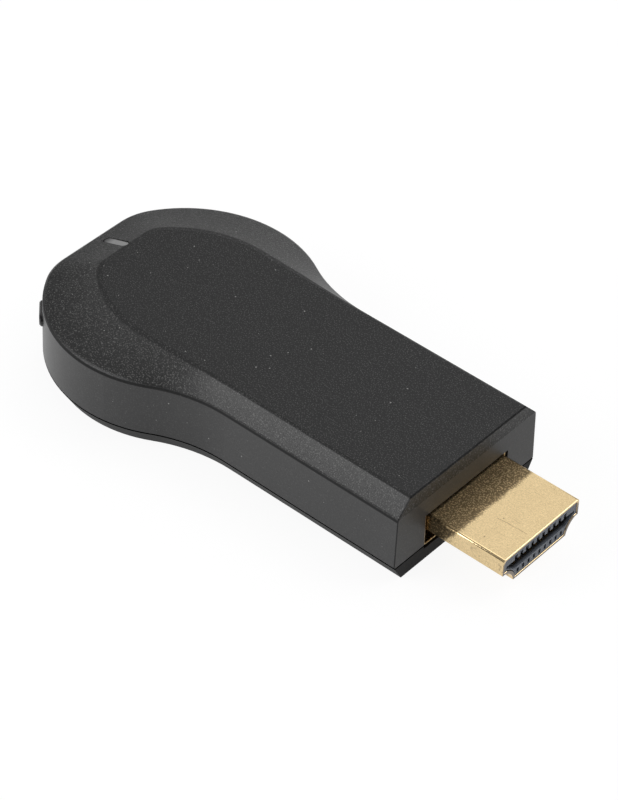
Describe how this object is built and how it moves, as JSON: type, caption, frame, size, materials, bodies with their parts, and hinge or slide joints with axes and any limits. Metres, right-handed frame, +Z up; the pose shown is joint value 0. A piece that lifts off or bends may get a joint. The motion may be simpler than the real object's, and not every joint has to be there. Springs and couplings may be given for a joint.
{
  "type": "streaming media stick",
  "caption": "Keyhole-shaped snap-together media stick: a video plug on the narrow end, and a round head with a power socket, a light and a sprung reset button.",
  "frame": {"origin": "on the resting face, under the middle of the whole stick from head end to plug tip", "axes": "+X from the head to the plug tip, +Y across the stick, +Z up out of the raised flat"},
  "size_m": [0.072, 0.035, 0.012],
  "materials": {
    "case_top": "fine-textured charcoal moulding, slightly sparkly",
    "case_bottom": "charcoal moulding",
    "button_black": "glossy black",
    "light_grey": "smoky translucent light pipe",
    "plug_gold": "worn pale gold plating",
    "insert_grey": "blue-grey moulded insert",
    "contact_gold": "bright gold contacts",
    "tin_steel": "tinned sheet steel",
    "socket_black": "black moulded insert",
    "board_black": "dark green solder mask",
    "chip_black": "moulded chip case",
    "capacitor_tan": "ceramic",
    "led_white": "clear-topped light",
    "pad_grey": "soft heat pad",
    "spreader_aluminium": "milled plate"
  },
  "bodies": {
    "case": {"top_shell": "case_top", "bottom_cover": "case_bottom", "light_pipe": "light_grey", "switch_base": "socket_black", "switch_cover": "tin_steel", "switch_dome": "tin_steel", "plug_shell": "plug_gold", "plug_collar": "plug_gold", "plug_core": "insert_grey", "plug_upper_contacts": "contact_gold", "plug_lower_contacts": "contact_gold", "usb_shell": "tin_steel", "usb_tongue": "socket_black", "usb_contacts": "contact_gold", "circuit_board": "board_black", "processor": "chip_black", "memory_chip": "chip_black", "flash_chip": "chip_black", "power_chip": "chip_black", "crystal": "tin_steel", "inductors": "chip_black", "capacitors": "capacitor_tan", "indicator_led": "led_white", "antenna": "tin_steel", "wireless_module": "chip_black", "lower_shield_can": "tin_steel", "shield_frame": "tin_steel", "shield_can": "tin_steel", "processor_pad": "pad_grey", "spreader_pad": "pad_grey", "heat_spreader": "spreader_aluminium"},
    "button": {"reset_button": "button_black", "switch_plunger": "socket_black"}
  },
  "joints": [
    {"name": "reset_press", "type": "slide", "parent": "case", "child": "button", "axis": [0.7133, 0.7009, 0], "range_m": [0, 0.00025], "stiffness_N_per_m": 1500}
  ]
}
